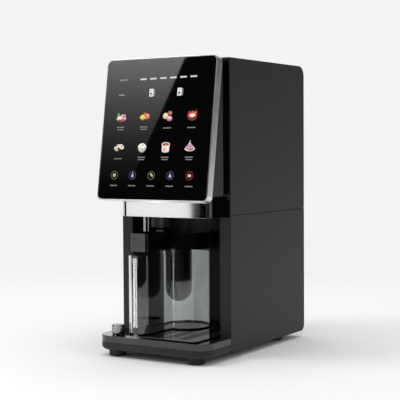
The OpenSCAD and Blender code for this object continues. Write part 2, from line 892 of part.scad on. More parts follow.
module boiler() {
    color("#c2c5c8") translate([boiler_c[0], boiler_c[1], 0]) {
        translate([0, 0, boiler_z[0]]) cylinder(r = boiler_r, h = boiler_z[1] - boiler_z[0]);
        for (z = [boiler_z[0] + 20, boiler_z[1] - 25])
            translate([0, 0, z]) cylinder(r = boiler_r + 2, h = 5);
        for (i = [0 : 2]) rotate([0, 0, 30 + i * 120]) translate([boiler_r - 8, 0, z_plinth])
            cylinder(r = 4, h = boiler_z[0] - z_plinth + 1);
    }
}

module water_pump() {
    c = pump_c;
    color("#8a6d3b") {
        rod_x(c, pump_r, [pump_x[0] + 12, pump_x[1] - 12]);
        rod_x(c, 8, pump_x);
        block([pump_x[0] + 16, pump_x[1] - 16], [c[0] - 14, c[0] + 14], [z_plinth, c[1] - 8]);
    }
}

module power_supply() {
    x = [10, hw - 17];
    z = [fan_c[1] + fan_side / 2 + 8, fan_c[1] + fan_side / 2 + 118];
    y = [y_cover - 48, y_cover];
    slots = 8;
    pitch = (x[1] - x[0] - 16) / slots;
    color("#b7babd") difference() {
        block(x, y, z);
        for (i = [0 : slots - 1])
            block([x[0] + 10 + i * pitch, x[0] + 10 + (i + 0.5) * pitch], [y[0] - 1, y[0] + 2],
                  [z[0] + 12, z[1] - 12]);
    }
}

module control_board() {
    x = inner_hw - 12;
    y = [y_front + 95, y_front + 165];
    z = [z_floor + 12, z_mid - 14];
    color("#1d5c3a") {
        block([x, x + 1.6], y, z);
        for (py = [y[0] + 6, y[1] - 6], pz = [z[0] + 6, z[1] - 6])
            rod_x([py, pz], 3, [x + 1.5, inner_hw]);
        block([x - 3, x + eps], [y[0] + 20, y[0] + 44], [z[0] + 40, z[0] + 64]);
        for (i = [0 : 3]) block([x - 9, x + eps], [y[0] + 8 + i * 14, y[0] + 18 + i * 14],
                                [z[0] + 12, z[0] + 20]);
    }
}

// straight runs through a list of points, with a push-in elbow at each turn
module hose(points) {
    for (i = [0 : len(points) - 2]) {
        run = points[i + 1] - points[i];
        translate(points[i]) rotate([0, acos(run[2] / norm(run)), atan2(run[1], run[0])])
            cylinder(r = hose_r, h = norm(run));
    }
    for (i = [1 : len(points) - 2]) translate(points[i]) sphere(hose_r + 1.2);
}

module water_hoses() {
    low = pump_c[1];
    over = z_shelf - 20;
    side = y_back - 94;
    color("#dcdcdc", 0.8) {
        hose([[0, y_back - 66, z_floor], [0, y_back - 66, low], [0, pump_c[0], low],
              [pump_x[0], pump_c[0], low]]);
        hose([[pump_x[1], pump_c[0], low], [pump_x[1] + 12, pump_c[0], low],
              [pump_x[1] + 12, side, low], [pump_x[1] + 12, side, over],
              [boiler_c[0], side, over], [boiler_c[0], boiler_c[1], over],
              [boiler_c[0], boiler_c[1], boiler_z[1]]]);
        hose([[boiler_c[0] + 20, boiler_c[1], boiler_z[1]], [boiler_c[0] + 20, boiler_c[1], over + 11],
              [-55, brewer[1] + 45, over + 11], [-55, brewer[1] + 45, z_floor + 50],
              [-brewer_r, brewer[1], z_floor + 50]]);
        hose([[0, brewer[1] - brewer_r, z_floor + 12], [0, y_front + 15, z_floor + 12],
              [tube[0], y_front + 15, z_head + 18], [tube[0], tube[1], z_head + 18],
              [tube[0], tube[1], z_head + 10]]);
    }
}

module fan_housing() {
    y = [y_cover - fan_d, y_cover];
    c = fan_c;
    half = fan_side / 2;
    color("#151515") {
        difference() {
            along_y(y) rounded([c[0] - half, c[0] + half], [c[1] - half, c[1] + half], 4);
            rod_y(c, fan_r, [y[0] - 1, y[1] + 1]);
        }
        block([c[0] - fan_r - 1, c[0] + fan_r + 1], [y[0], y[0] + 2.5], [c[1] - 2, c[1] + 2]);
        block([c[0] - 2, c[0] + 2], [y[0], y[0] + 2.5], [c[1] - fan_r - 1, c[1] + fan_r + 1]);
        rod_y(c, 12, [y[0], y[0] + 2.5]);
        rod_y(c, 3, [y[0] + 2, y[1] - 3]);
    }
}

module fan_rotor() {
    y = [y_cover - fan_d + 3, y_cover - 2];
    blades = 7;
    color("#1f1f1f") difference() {
        union() {
            rod_y(fan_c, 13, y);
            for (i = [0 : blades - 1]) translate([fan_c[0], (y[0] + y[1]) / 2, fan_c[1]])
                rotate([0, i * 360 / blades, 0]) translate([11, 0, 0]) rotate([38, 0, 0])
                    translate([0, -7.5, -0.7]) cube([fan_r - 13, 15, 1.4]);
        }
        rod_y(fan_c, 3 + shaft_gap, [y[0] - 1, y[1] - 0.8]);
    }
}

module mains_inlet() {
    t = 2;
    color("#0d0d0d") {
        difference() {
            block(inlet_x, [y_cover - 18, y_back], inlet_z);
            block([inlet_x[0] + t, inlet_x[1] - t], [y_cover - 14, y_back + 1],
                  [inlet_z[0] + t, inlet_z[1] - t]);
        }
        c = (inlet_x[0] + inlet_x[1]) / 2;
        cz = (inlet_z[0] + inlet_z[1]) / 2;
        for (p = [[-7, -2], [7, -2], [0, 4]])
            block([c + p[0] - 1, c + p[0] + 1], [y_cover - 15, y_cover - 2],
                  [cz + p[1] - 2, cz + p[1] + 2]);
    }
}

// ---- drip tray ----

module drip_deck() {
    floor_t = 3;
    color(gloss_black) difference() {
        union() {
            raise([z_tray, z_deck])
                front_rounded([-hw, hw], [y_tray, y_front - 0.3], base_corner_r);
            block([-bay_hw + slide_gap, bay_hw - slide_gap], [y_front - 1, y_bay], [z_tray, z_deck]);
            block([-bay_hw + slide_gap, bay_hw - slide_gap], [y_bay - 1, bin_back + 2],
                  [z_tray, z_tray + floor_t]);
        }
        raise([z_tray + floor_t, z_deck + 1]) rounded(pan_x, pan_y, 8);
        rod_z(knob, knob_r + 2, [z_tray - 1, z_tray + 6]);
        rod_z(knob, spindle_r + shaft_gap, [z_tray, z_deck + 1]);
    }
}

module drip_pan() {
    gap = 0.3;
    z = [z_tray + 3, z_deck - 0.2];
    color("#1c1c1c") difference() {
        raise(z) rounded([pan_x[0] + gap, pan_x[1] - gap], [pan_y[0] + gap, pan_y[1] - gap], 8 - gap);
        raise([z[0] + pan_t, z[1] + 1])
            rounded([pan_x[0] + gap + pan_t, pan_x[1] - gap - pan_t],
                    [pan_y[0] + gap + pan_t, pan_y[1] - gap - pan_t], 8 - gap - pan_t);
    }
}

module grate_slots() {
    length = 26;
    step_x = length + 8;
    step_y = slot_w + 5;
    columns = floor((grate_x[1] - grate_x[0] - 16) / step_x);
    rows = floor((grate_y[1] - grate_y[0] - 20) / step_y);
    mid = [(grate_x[0] + grate_x[1]) / 2, (grate_y[0] + grate_y[1]) / 2];
    for (i = [0 : columns - 1], j = [0 : rows - 1])
        translate([mid[0] + (i - (columns - 1) / 2) * step_x, mid[1] + (j - (rows - 1) / 2) * step_y]) {
            square([length - slot_w, slot_w], center = true);
            for (s = [-1, 1]) translate([s * (length - slot_w) / 2, 0]) circle(slot_w / 2);
        }
}

module drip_grate() {
    color("#2a2a2a") raise([z_deck, z_grate]) difference() {
        rounded(grate_x, grate_y, 12);
        grate_slots();
    }
}

// the bin's front wall is the lower back wall of the cup bay
module grounds_bin() {
    z = [z_tray + 3, z_tray + 3 + bin_h];
    color("#1a1a1a") difference() {
        union() {
            block([-bin_x, bin_x], [y_bay, bin_back], z);
            block([-bay_hw + slide_gap, bay_hw - slide_gap], [y_bay, y_bay + 3], z);
        }
        block([-bin_x + bin_t, bin_x - bin_t], [y_bay + 3, bin_back - bin_t], [z[0] + bin_t, z[1] + 1]);
    }
}

module lock_knob() {
    lift = 0.6;
    color(metal) {
        translate([knob[0], knob[1], z_deck + lift]) {
            cylinder(r = knob_r - 1.5, h = 3);
            translate([0, 0, 2.5]) cylinder(r = knob_r, h = knob_h - 4);
            translate([0, 0, knob_h - 1.5]) cylinder(r1 = knob_r, r2 = knob_r - 1.5, h = 1.5);
        }
        rod_z(knob, spindle_r, [z_tray + 0.5, z_deck + lift + 1]);
    }
}

// quarter-turn cam on the knob's spindle, in a recess under the deck
module lock_cam() {
    z = [z_tray + 1, z_tray + 5];
    color("#9a9da1") difference() {
        union() {
            rod_z(knob, spindle_r + 4, z);
            block([knob[0] - 3, knob[0] + 3], [knob[1], knob[1] + knob_r - 1], z);
        }
        rod_z(knob, spindle_r, [z[0] - 1, z[1] + 1]);
    }
}

// ---- jug ----

// keyhole plan: a round jug with a hollow column reaching forward
module jug_plan(t) {
    translate(jug) circle(jug_r - t);
    front_rounded([column_x[0] + t, column_x[1] - t], [column_front + t, jug[1]],
                  column_corner_r - t);
}

module jug_body() {
    color("#dfe3e6", 0.35) difference() {
        raise([z_jug, z_rim]) jug_plan(0);
        raise([z_jug + jug_wall + 0.5, z_rim + 1]) jug_plan(jug_wall);
        difference() {
            block([column_x[0] - 1, column_x[1] + 1], [column_front - 1, jug[1]],
                  [z_rim - column_drop, z_rim + 1]);
            rod_z(jug, jug_r, [z_rim - column_drop - 1, z_rim + 2]);
        }
    }
}

module jug_lid() {
    z_top = z_rim + lid_h;
    color(gloss_black) difference() {
        union() {
            rod_z(jug, lid_r, [z_rim, z_top]);
            raise([z_rim, z_top + arm_rise]) rounded(arm_x, [arm_front, arm_front + 42], 5);
            block(arm_x, [arm_front + 30, jug[1] - 30], [z_rim, z_top]);
            raise([z_top - 1, z_top + 8]) rounded(cap_x, [block_y[0] + 2, block_y[0] + 24], 3);
        }
        rod_z(jug, lid_r - lid_t, [z_rim - 1, z_top - lid_t]);
        rod_z(tube, tube_r + 1.5, [z_rim - 1, z_top + arm_rise + 1]);
    }
}

module jug_seal() {
    color("#3a3a3a") difference() {
        rod_z(jug, lid_r - lid_t, [z_rim, z_rim + 4]);
        rod_z(jug, lid_r - lid_t - 4, [z_rim - 1, z_rim + 5]);
    }
}

module round_ended(r, z_low, z_top) {
    rotate_extrude() union() {
        rectangle([0, r], [z_low + r, z_top]);
        intersection() {
            translate([0, z_low + r]) circle(r);
            rectangle([0, r], [z_low, z_low + r]);
        }
    }
}

// a fine filter inside a plain sleeve, both hanging from the lid
module infuser() {
    t = 1.5;
    z_top = z_rim + lid_h - lid_t;
    sleeve_l = 115;
    filter_l = 95;
    color("#1a1a1a") translate([infuser_c[0], infuser_c[1], 0]) {
        difference() {
            round_ended(sleeve_r, z_rim - sleeve_l, z_top);
            round_ended(sleeve_r - t, z_rim - sleeve_l + t, z_top + 1);
        }
        difference() {
            round_ended(filter_r, z_rim - filter_l, z_top);
            round_ended(filter_r - t, z_rim - filter_l + t, z_top + 1);
        }
    }
}

base_plinth();
feet();
tray_guides();
chassis_posts();
lower_shelf();
middle_shelf();
left_lower_panel();
right_lower_panel();
left_upper_panel();
right_upper_panel();
top_cover();
rear_cover();
bay_liner();
screen_mount();
head_housing();
head_band();
outlet_tube();
nozzle_block();
hinge_brackets();
hinge_pins();
cover_screws();
mains_inlet();
fan_housing();
fan_rotor();
bean_hopper();
grinder_body();
grinder_motor();
grinder_burr();
powder_canister();
powder_auger();
dosing_motors();
mixing_bowl();
whipper();
brew_cylinder();
brew_guide();
brew_piston();
boiler();
water_pump();
power_supply();
control_board();
water_hoses();
tank_dock();
hopper_lid();
water_tank();
tank_lid();
screen_glass();
screen_bezel();
lcd_panel();
screen_housing();
screen_board();
drip_deck();
drip_pan();
drip_grate();
grounds_bin();
lock_knob();
lock_cam();
jug_body();
jug_lid();
jug_seal();
infuser();
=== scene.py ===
import json
import math

import bpy
from mathutils import Matrix, Vector

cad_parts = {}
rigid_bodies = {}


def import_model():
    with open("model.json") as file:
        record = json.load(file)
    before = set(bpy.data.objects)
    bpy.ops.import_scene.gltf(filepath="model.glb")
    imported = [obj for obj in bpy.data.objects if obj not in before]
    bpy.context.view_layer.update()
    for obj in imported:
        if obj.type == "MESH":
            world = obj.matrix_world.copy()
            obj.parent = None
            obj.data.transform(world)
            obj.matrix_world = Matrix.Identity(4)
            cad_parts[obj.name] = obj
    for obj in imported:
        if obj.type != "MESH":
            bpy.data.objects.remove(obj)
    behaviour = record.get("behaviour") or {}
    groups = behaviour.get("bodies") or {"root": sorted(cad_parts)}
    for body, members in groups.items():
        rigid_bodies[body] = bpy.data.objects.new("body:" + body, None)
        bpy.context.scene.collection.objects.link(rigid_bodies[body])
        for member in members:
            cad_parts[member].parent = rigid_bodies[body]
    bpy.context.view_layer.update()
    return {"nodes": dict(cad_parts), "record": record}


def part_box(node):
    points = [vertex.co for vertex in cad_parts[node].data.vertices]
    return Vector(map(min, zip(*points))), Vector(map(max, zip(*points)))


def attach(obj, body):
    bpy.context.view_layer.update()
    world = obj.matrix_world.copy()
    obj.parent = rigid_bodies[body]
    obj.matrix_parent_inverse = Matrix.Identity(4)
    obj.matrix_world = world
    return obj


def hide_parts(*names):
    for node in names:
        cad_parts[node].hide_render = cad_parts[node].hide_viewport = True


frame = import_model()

MM = 0.001
BODY_OF = {node: body for body, nodes in frame["record"]["behaviour"]["bodies"].items() for node in nodes}
SLOT_OF = {part["node"]: part["material_slot"] for part in frame["record"]["subparts"]}


# ---- camera ----

def place_camera():
    yaw, pitch, roll = math.radians(31.98), math.radians(-2.64), math.radians(-0.36)
    bpy.ops.object.camera_add(location=(1.2747, -2.0574, 0.4305))
    camera = bpy.context.object
    camera.name = "studio_camera"
    turn = Matrix.Rotation(yaw, 3, "Z") @ Matrix.Rotation(math.pi / 2 + pitch, 3, "X")
    turn = turn @ Matrix.Rotation(roll, 3, "Z")
    camera.rotation_euler = turn.to_euler()
    camera.data.lens = 100
    camera.data.sensor_width = 36
    bpy.context.scene.camera = camera
    return camera


# ---- materials ----

def linear(hex_colour):
    """An sRGB hex colour as linear RGBA."""
    parts = [int(hex_colour[i:i + 2], 16) / 255 for i in (1, 3, 5)]
    return [c / 12.92 if c <= 0.04045 else ((c + 0.055) / 1.055) ** 2.4 for c in parts] + [1.0]


def add(tree, kind, inputs=None, **settings):
    """Adds a node, sets its properties, and gives each named socket a value or a link."""
    node = tree.nodes.new(kind)
    for name, value in settings.items():
        setattr(node, name, value)
    for name, value in (inputs or {}).items():
        if isinstance(value, bpy.types.NodeSocket):
            tree.links.new(value, node.inputs[name])
        else:
            node.inputs[name].default_value = value
    return node


def new_material(name, **shader_values):
    """A material with a Principled shader; returns the material, its tree, shader and Object coordinates."""
    material = bpy.data.materials.new(name)
    material.use_nodes = True
    tree = material.node_tree
    shader = tree.nodes["Principled BSDF"]
    for socket, value in shader_values.items():
        shader.inputs[socket.replace("_", " ")].default_value = value
    place = add(tree, "ShaderNodeTexCoord").outputs["Object"]
    return material, tree, shader, place


def per_metre(size_mm):
    """The scale of a noise or wave pattern whose features are about size_mm wide."""
    return 1 / (size_mm * MM)


def mottle(tree, place, dark, light, size_mm, detail=4.0, stretch=(1, 1, 1)):
    """A colour that drifts between two close shades, as a moulded or sprayed surface does."""
    spread = add(tree, "ShaderNodeMapping", {"Vector": place, "Scale": stretch})
    noise = add(tree, "ShaderNodeTexNoise",
                {"Vector": spread.outputs["Vector"], "Scale": per_metre(size_mm), "Detail": detail})
    ramp = add(tree, "ShaderNodeValToRGB", {"Fac": noise.outputs["Fac"]})
    ramp.color_ramp.elements[0].position = 0.3
    ramp.color_ramp.elements[0].color = linear(dark)
    ramp.color_ramp.elements[1].position = 0.7
    ramp.color_ramp.elements[1].color = linear(light)
    return ramp.outputs["Color"], noise.outputs["Fac"]


def roughen(tree, shader, fac, low, high):
    """Roughness that follows a pattern between two values."""
    spread = add(tree, "ShaderNodeMapRange", {"Value": fac, "To Min": low, "To Max": high})
    tree.links.new(spread.outputs["Result"], shader.inputs["Roughness"])


def raise_grain(tree, shader, height, strength, depth_mm):
    """A bump of real depth on the shader."""
    bump = add(tree, "ShaderNodeBump", {"Height": height, "Strength": strength, "Distance": depth_mm * MM})
    tree.links.new(bump.outputs["Normal"], shader.inputs["Normal"])


def powder_coat():
    # polyester powder coat baked on sheet steel: even dark grey, satin, with a faint orange peel 2 mm across
    material, tree, shader, place = new_material("powder_coated_steel", IOR=1.5, Specular_IOR_Level=0.32)
    colour, drift = mottle(tree, place, "#1f1f1f", "#242424", 90)
    tree.links.new(colour, shader.inputs["Base Color"])
    peel = add(tree, "ShaderNodeTexNoise", {"Vector": place, "Scale": per_metre(2), "Detail": 2.0})
    raise_grain(tree, shader, peel.outputs["Fac"], 0.12, 0.05)
    roughen(tree, shader, drift, 0.42, 0.5)
    return material


def moulded_abs():
    # injection-moulded ABS with a fine spark-eroded texture, painted to match the steel panels
    material, tree, shader, place = new_material("moulded_abs", IOR=1.52, Specular_IOR_Level=0.35)
    colour, drift = mottle(tree, place, "#171717", "#1d1d1d", 60)
    tree.links.new(colour, shader.inputs["Base Color"])
    grain = add(tree, "ShaderNodeTexVoronoi", {"Vector": place, "Scale": per_metre(0.8)})
    raise_grain(tree, shader, grain.outputs["Distance"], 0.1, 0.03)
    roughen(tree, shader, drift, 0.4, 0.47)
    return material


def gloss_abs():
    # piano-black ABS, polished in the mould: a deep wet gloss that shows faint wiping marks
    material, tree, shader, place = new_material("piano_black_abs", IOR=1.52, Coat_Weight=0.6,
                                                 Coat_Roughness=0.03)
    colour, drift = mottle(tree, place, "#050505", "#090909", 40)
    tree.links.new(colour, shader.inputs["Base Color"])
    roughen(tree, shader, drift, 0.07, 0.16)
    return material


def matt_abs():
    # black ABS with a matt moulded face, for the bay walls, the drip pan and the bin
    material, tree, shader, place = new_material("matt_black_abs", IOR=1.52)
    colour, drift = mottle(tree, place, "#0f0f0f", "#161616", 30)
    tree.links.new(colour, shader.inputs["Base Color"])
    grain = add(tree, "ShaderNodeTexNoise", {"Vector": place, "Scale": per_metre(1), "Detail": 3.0})
    raise_grain(tree, shader, grain.outputs["Fac"], 0.15, 0.05)
    roughen(tree, shader, drift, 0.34, 0.46)
    return material


def grey_abs():
    # semi-gloss dark grey ABS of the outlet block
    material, tree, shader, place = new_material("grey_abs", IOR=1.52)
    colour, drift = mottle(tree, place, "#2a2a2a", "#323232", 20)
    tree.links.new(colour, shader.inputs["Base Color"])
    roughen(tree, shader, drift, 0.28, 0.4)
    return material


def anodised_aluminium():
    # bead-blasted, clear-anodised aluminium: bright, silky, with brushing 0.4 mm apart along its length
    material, tree, shader, place = new_material("anodised_aluminium", Metallic=1.0)
    colour, drift = mottle(tree, place, "#dcdddd", "#e8e9e9", 12, stretch=(0.06, 1, 1))
    tree.links.new(colour, shader.inputs["Base Color"])
    lines = add(tree, "ShaderNodeMapping", {"Vector": place, "Scale": (0.02, 1, 1)})
    brush = add(tree, "ShaderNodeTexNoise",
                {"Vector": lines.outputs["Vector"], "Scale": per_metre(0.4), "Detail": 2.0})
    raise_grain(tree, shader, brush.outputs["Fac"], 0.08, 0.02)
    roughen(tree, shader, drift, 0.26, 0.34)
    return material


def polished_aluminium():
    # the head's band: aluminium polished before anodising, a soft mirror with draw lines 0.5 mm apart
    material, tree, shader, place = new_material("polished_aluminium", Metallic=1.0)
    colour, drift = mottle(tree, place, "#dcdddd", "#e6e7e7", 20, stretch=(0.05, 1, 1))
    tree.links.new(colour, shader.inputs["Base Color"])
    lines = add(tree, "ShaderNodeMapping", {"Vector": place, "Scale": (0.02, 1, 1)})
    brush = add(tree, "ShaderNodeTexNoise",
                {"Vector": lines.outputs["Vector"], "Scale": per_metre(0.5), "Detail": 2.0})
    raise_grain(tree, shader, brush.outputs["Fac"], 0.04, 0.01)
    roughen(tree, shader, drift, 0.07, 0.12)
    return material


def cast_aluminium():
    # die-cast aluminium left as cast: dull, with a pebbled skin about 1.5 mm across
    material, tree, shader, place = new_material("cast_aluminium", Metallic=1.0)
    colour, drift = mottle(tree, place, "#8f9193", "#a2a4a6", 8)
    tree.links.new(colour, shader.inputs["Base Color"])
    grain = add(tree, "ShaderNodeTexNoise", {"Vector": place, "Scale": per_metre(1.5), "Detail": 4.0})
    raise_grain(tree, shader, grain.outputs["Fac"], 0.3, 0.1)
    roughen(tree, shader, drift, 0.4, 0.55)
    return material


def chrome_plate():
    # bright chromium over polished nickel: a mirror with a trace of haze
    material, tree, shader, place = new_material("chrome_plate", Metallic=1.0)
    colour, drift = mottle(tree, place, "#cfd0d2", "#dadbdd", 10)
    tree.links.new(colour, shader.inputs["Base Color"])
    roughen(tree, shader, drift, 0.06, 0.12)
    return material


def satin_nickel():
    # turned brass knob, nickel plated: fine turning lines 0.4 mm apart and greyer patches
    material, tree, shader, place = new_material("satin_nickel", Metallic=1.0)
    colour, drift = mottle(tree, place, "#8d8b88", "#a5a3a0", 8)
    tree.links.new(colour, shader.inputs["Base Color"])
    lines = add(tree, "ShaderNodeTexWave", {"Vector": place, "Scale": per_metre(0.4), "Distortion": 0.3},
                bands_direction="Z")
    raise_grain(tree, shader, lines.outputs["Fac"], 0.12, 0.02)
    roughen(tree, shader, drift, 0.16, 0.26)
    return material


def zinc_steel():
    # zinc-plated steel, passivated: grey with the broken lustre of its crystals
    material, tree, shader, place = new_material("zinc_plated_steel", Metallic=1.0)
    cells = add(tree, "ShaderNodeTexVoronoi", {"Vector": place, "Scale": per_metre(6)})
    ramp = add(tree, "ShaderNodeValToRGB", {"Fac": cells.outputs["Distance"]})
    ramp.color_ramp.elements[0].color = linear("#85888b")
    ramp.color_ramp.elements[1].color = linear("#a3a6a9")
    tree.links.new(ramp.outputs["Color"], shader.inputs["Base Color"])
    roughen(tree, shader, cells.outputs["Distance"], 0.32, 0.48)
    return material


def ground_steel():
    # hardened steel of the burr, ground bright with turning marks 0.6 mm apart
    material, tree, shader, place = new_material("ground_steel", Metallic=1.0)
    marks = add(tree, "ShaderNodeTexWave", {"Vector": place, "Scale": per_metre(0.6 * 2 * math.pi),
                                            "Distortion": 0.4}, bands_direction="Z")
    colour, drift = mottle(tree, place, "#77797c", "#8e9093", 5)
    tree.links.new(colour, shader.inputs["Base Color"])
    raise_grain(tree, shader, marks.outputs["Fac"], 0.2, 0.05)
    roughen(tree, shader, drift, 0.25, 0.4)
    return material


def cast_brass():
    # brass body of the water pump, dulled by handling
    material, tree, shader, place = new_material("cast_brass", Metallic=1.0)
    colour, drift = mottle(tree, place, "#93753c", "#b09052", 9)
    tree.links.new(colour, shader.inputs["Base Color"])
    roughen(tree, shader, drift, 0.35, 0.5)
    return material


def clear_copolyester():
    # clear copolyester of the jug: water-clear with faint flow ripples from moulding, 12 mm apart
    material, tree, shader, place = new_material("clear_copolyester", IOR=1.54, Transmission_Weight=1.0)
    colour, drift = mottle(tree, place, "#eef1f2", "#f8fafa", 40)
    tree.links.new(colour, shader.inputs["Base Color"])
    ripple = add(tree, "ShaderNodeTexNoise", {"Vector": place, "Scale": per_metre(12), "Detail": 1.0})
    raise_grain(tree, shader, ripple.outputs["Fac"], 0.08, 0.1)
    roughen(tree, shader, drift, 0.01, 0.04)
    return material


def frosted_copolyester():
    # etched wall inside the jug: a fine white frost, denser in patches; its faint glow is painted light,
    # standing in for the light that the clear wall lets in from every side
    material, tree, shader, place = new_material("frosted_wall_painted_glow", IOR=1.54, Transmission_Weight=0.45)
    colour, drift = mottle(tree, place, "#c4c6c6", "#dfe0e0", 35, stretch=(1, 1, 0.3))
    tree.links.new(colour, shader.inputs["Base Color"])
    roughen(tree, shader, drift, 0.45, 0.6)
    # painted glow: the frost emits its own colour, so it shines though no lamp lights it
    tree.links.new(colour, shader.inputs["Emission Color"])
    shader.inputs["Emission Strength"].default_value = 0.2
    return material


def tinted_copolyester():
    # lightly frosted water tank
    material, tree, shader, place = new_material("frosted_copolyester", IOR=1.54, Transmission_Weight=0.85)
    colour, drift = mottle(tree, place, "#b9c8d0", "#c8d5dc", 30)
    tree.links.new(colour, shader.inputs["Base Color"])
    roughen(tree, shader, drift, 0.2, 0.3)
    return material


def smoked_copolyester():
    # smoke-tinted copolyester with a woven look at 1.2 mm, drawn coarse enough to show, for filter and hopper
    material, tree, shader, place = new_material("smoked_copolyester", IOR=1.54)
    weave = add(tree, "ShaderNodeTexVoronoi", {"Vector": place, "Scale": per_metre(1.2)})
    colour, drift = mottle(tree, place, "#0c0c0c", "#1b1b1b", 25)
    tree.links.new(colour, shader.inputs["Base Color"])
    raise_grain(tree, shader, weave.outputs["Distance"], 0.3, 0.1)
    roughen(tree, shader, drift, 0.15, 0.3)
    return material


def smoked_sleeve():
    # the infuser's outer sleeve: thin smoke-grey copolyester, cloudier in patches, the filter shows through
    material, tree, shader, place = new_material("smoked_sleeve", IOR=1.54, Alpha=0.5)
    colour, drift = mottle(tree, place, "#151515", "#242424", 30)
    tree.links.new(colour, shader.inputs["Base Color"])
    roughen(tree, shader, drift, 0.3, 0.42)
    return material


def white_acetal():
    # natural acetal of the worm, whisk and ducts: off-white, waxy, slightly see-through
    material, tree, shader, place = new_material("white_acetal", IOR=1.48, Subsurface_Weight=0.1)
    colour, drift = mottle(tree, place, "#dcdcd6", "#e8e8e3", 15)
    tree.links.new(colour, shader.inputs["Base Color"])
    roughen(tree, shader, drift, 0.3, 0.42)
    return material


def circuit_laminate():
    # glass-epoxy board under green lacquer, with copper tracks 1.5 mm wide showing through
    material, tree, shader, place = new_material("circuit_laminate", IOR=1.5, Coat_Weight=0.5)
    tracks = add(tree, "ShaderNodeTexBrick", {"Vector": place, "Scale": per_metre(6), "Mortar Size": 0.12,
                                              "Color1": linear("#0c4a2b"), "Color2": linear("#0f5532"),
                                              "Mortar": linear("#2c8a58")})
    tree.links.new(tracks.outputs["Color"], shader.inputs["Base Color"])
    roughen(tree, shader, tracks.outputs["Fac"], 0.25, 0.4)
    return material


def silicone_hose():
    # translucent silicone hose: milky, soft gloss
    material, tree, shader, place = new_material("silicone_hose", IOR=1.41, Subsurface_Weight=0.3)
    colour, drift = mottle(tree, place, "#cfd2d2", "#dcdede", 10)
    tree.links.new(colour, shader.inputs["Base Color"])
    roughen(tree, shader, drift, 0.35, 0.5)
    return material


def black_rubber():
    # moulded nitrile rubber: dull black, dusty where it is handled
    material, tree, shader, place = new_material("black_rubber", IOR=1.52)
    colour, drift = mottle(tree, place, "#101010", "#1a1a1a", 6)
    tree.links.new(colour, shader.inputs["Base Color"])
    grain = add(tree, "ShaderNodeTexNoise", {"Vector": place, "Scale": per_metre(0.8), "Detail": 3.0})
    raise_grain(tree, shader, grain.outputs["Fac"], 0.25, 0.08)
    roughen(tree, shader, drift, 0.6, 0.8)
    return material


def cover_glass():
    # tempered cover glass, back-printed black: a mirror-flat face with a trace of finger grease
    material, tree, shader, place = new_material("cover_glass", IOR=1.52)
    colour, drift = mottle(tree, place, "#010101", "#030303", 70)
    tree.links.new(colour, shader.inputs["Base Color"])
    roughen(tree, shader, drift, 0.015, 0.035)
    return material


def lit_pixels(hex_colour, strength=1.0):
    # a patch of the lit display: the colour glows, with the faint 0.5 mm row pattern of the panel
    material, tree, shader, place = new_material("lit_" + hex_colour[1:], IOR=1.5, Roughness=0.25)
    rows = add(tree, "ShaderNodeTexWave", {"Vector": place, "Scale": per_metre(0.5 * 2 * math.pi)},
               bands_direction="Z")
    dim = [c * 0.86 for c in linear(hex_colour)[:3]] + [1.0]
    ramp = add(tree, "ShaderNodeValToRGB", {"Fac": rows.outputs["Fac"]})
    ramp.color_ramp.elements[0].color = dim
    ramp.color_ramp.elements[1].color = linear(hex_colour)
    shader.inputs["Base Color"].default_value = linear("#050505")
    tree.links.new(ramp.outputs["Color"], shader.inputs["Emission Color"])
    shader.inputs["Emission Strength"].default_value = strength
    return material


FINISH = {
    "cabinet_paint": powder_coat(), "cabinet_plastic": moulded_abs(), "gloss_black": gloss_abs(),
    "black_plastic": matt_abs(), "grey_plastic": grey_abs(), "satin_aluminium": anodised_aluminium(),
    "cast_aluminium": cast_aluminium(), "chrome": chrome_plate(), "zinc_steel": zinc_steel(),
    "burr_steel": ground_steel(), "brass": cast_brass(), "clear_plastic": clear_copolyester(),
    "tank_plastic": tinted_copolyester(), "smoke_plastic": smoked_copolyester(),
    "white_plastic": white_acetal(), "circuit_board": circuit_laminate(), "hose_silicone": silicone_hose(),
    "seal_rubber": black_rubber(), "screen_glass": cover_glass(),
}
FINISH["foot_rubber"] = FINISH["seal_rubber"]


# ---- CAD nodes: finishes and softened edges ----

NODE_FINISH = {"head_band": polished_aluminium(), "lock_knob": satin_nickel()}


def finish_of(node):
    return NODE_FINISH.get(node) or FINISH[SLOT_OF[node]]


def dress(obj, material):
    obj.data.materials.clear()
    obj.data.materials.append(material)


def select_only(*objects):
    bpy.ops.object.select_all(action="DESELECT")
    for obj in objects:
        obj.select_set(True)
    bpy.context.view_layer.objects.active = objects[0]


def apply_modifier(obj, kind, **settings):
    modifier = obj.modifiers.new(kind.lower(), kind)
    for name, value in settings.items():
        setattr(modifier, name, value)
    select_only(obj)
    bpy.ops.object.modifier_apply(modifier=modifier.name)


def soften(node, width_mm, segments=3, crease=40):
    """A copy of a CAD node with its loose triangles joined and its edges rounded; it stands for the node."""
    source = frame["nodes"][node]
    piece = bpy.data.objects.new(node + "_finished", source.data.copy())
    bpy.context.collection.objects.link(piece)
    select_only(piece)
    bpy.ops.object.mode_set(mode="EDIT")
    bpy.ops.mesh.select_all(action="SELECT")
    bpy.ops.mesh.remove_doubles(threshold=0.02 * MM)
    bpy.ops.mesh.dissolve_limited(angle_limit=math.radians(0.5))
    bpy.ops.object.mode_set(mode="OBJECT")
    apply_modifier(piece, "BEVEL", width=width_mm * MM, segments=segments, limit_method="ANGLE",
                   angle_limit=math.radians(crease), harden_normals=False, miter_outer="MITER_ARC")
    select_only(piece)
    bpy.ops.object.shade_smooth_by_angle(angle=math.radians(30))
    apply_modifier(piece, "WEIGHTED_NORMAL", keep_sharp=True)
    dress(piece, finish_of(node))
    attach(piece, BODY_OF[node])
    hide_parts(node)
    return piece


for name, node_object in frame["nodes"].items():
    dress(node_object, finish_of(name))

